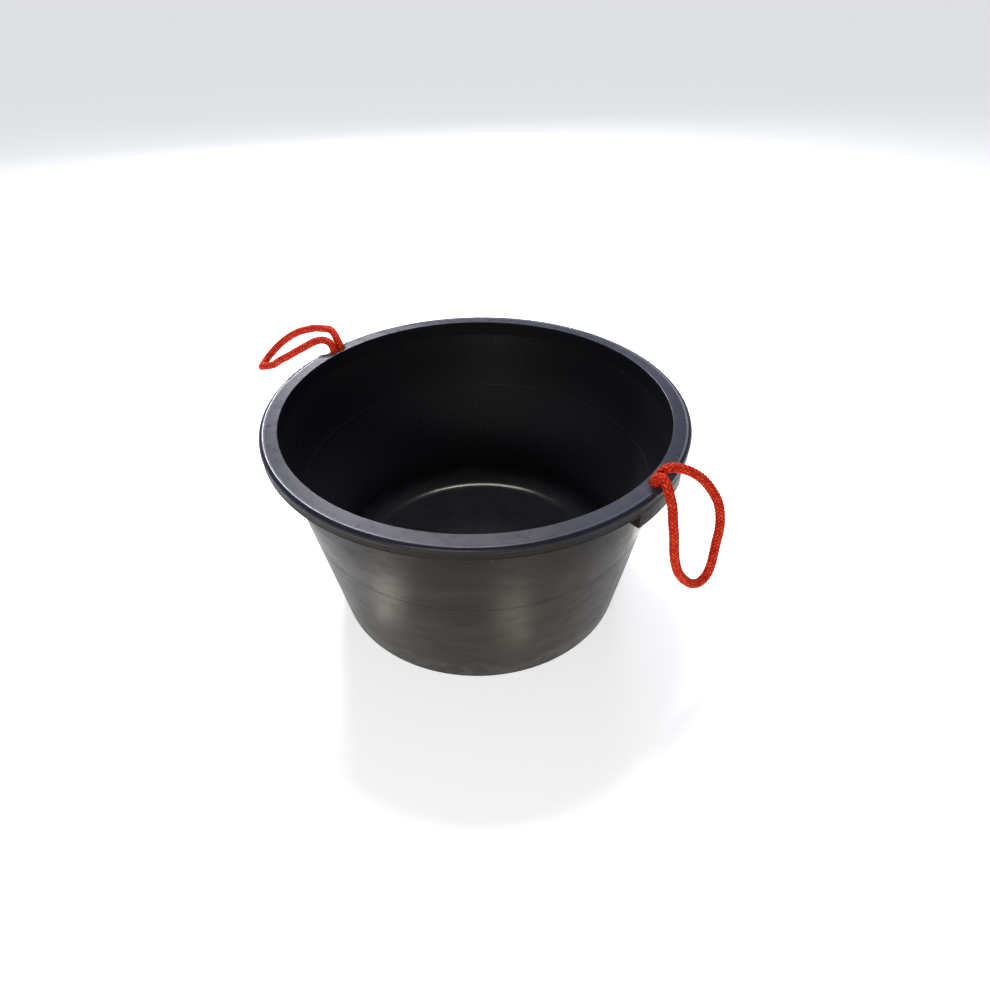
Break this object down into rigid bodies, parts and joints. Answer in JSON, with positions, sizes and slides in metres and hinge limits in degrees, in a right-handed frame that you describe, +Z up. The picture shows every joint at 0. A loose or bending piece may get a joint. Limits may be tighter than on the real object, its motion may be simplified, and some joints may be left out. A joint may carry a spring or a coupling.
{
  "type": "mortar mixing tub",
  "caption": "Round tapered black plastic mixing tub with a broad flat rim, a skirt under it, handle pockets and a braided rope loop handle hinged on each side.",
  "frame": {"origin": "centre of the underside, at ground level", "axes": "+Z up along the tub's axis, the two rope handles on +X and -X"},
  "size_m": [0.8579, 0.6199, 0.3575],
  "materials": {
    "tub_plastic": "satin moulded black polyethylene, lightly scuffed",
    "rope": "braided red-orange polypropylene rope"
  },
  "bodies": {
    "tub": {"tub_shell": "tub_plastic", "right_front_leg": "rope", "right_rear_leg": "rope", "right_front_knot": "rope", "right_rear_knot": "rope", "left_front_leg": "rope", "left_rear_leg": "rope", "left_front_knot": "rope", "left_rear_knot": "rope"},
    "right_rope": {"right_rope_loop": "rope"},
    "left_rope": {"left_rope_loop": "rope"}
  },
  "joints": [
    {"name": "right_rope_swing", "type": "hinge", "parent": "tub", "child": "right_rope", "pos_m": [0.308, 0, 0.343], "axis": [0, -1, 0], "range_deg": [0, 160]},
    {"name": "left_rope_swing", "type": "hinge", "parent": "tub", "child": "left_rope", "pos_m": [-0.308, 0, 0.343], "axis": [0, 1, 0], "range_deg": [-40, 115]}
  ]
}
